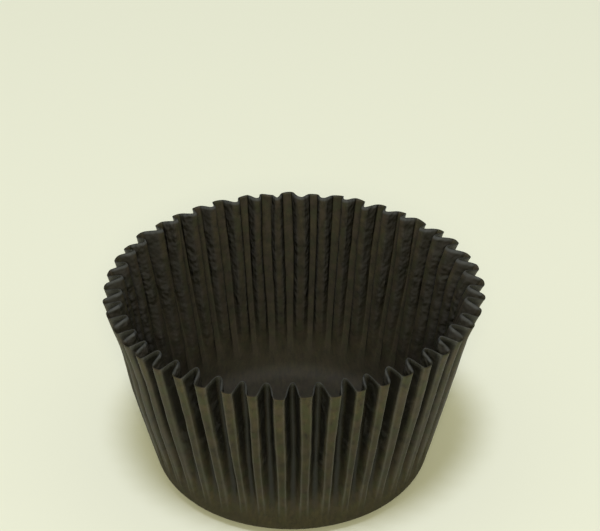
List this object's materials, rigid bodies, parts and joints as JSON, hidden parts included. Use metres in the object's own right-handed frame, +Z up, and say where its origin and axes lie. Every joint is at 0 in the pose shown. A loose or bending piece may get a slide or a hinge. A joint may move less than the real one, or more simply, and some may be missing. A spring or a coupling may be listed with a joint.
{
  "type": "cupcake liner",
  "caption": "Black paper baking cup: a flat round base turned up into a flared, evenly pleated wall with an open mouth and a plain cut edge.",
  "frame": {"origin": "centre of the base, on its underside", "axes": "+Z up through the open mouth, along the cup's axis; an inner fold of the wall faces -Y"},
  "size_m": [0.0682, 0.068, 0.0376],
  "materials": {
    "liner": "matte greaseproof paper, dyed black through"
  },
  "bodies": {
    "root": {"liner": "liner"}
  },
  "joints": []
}
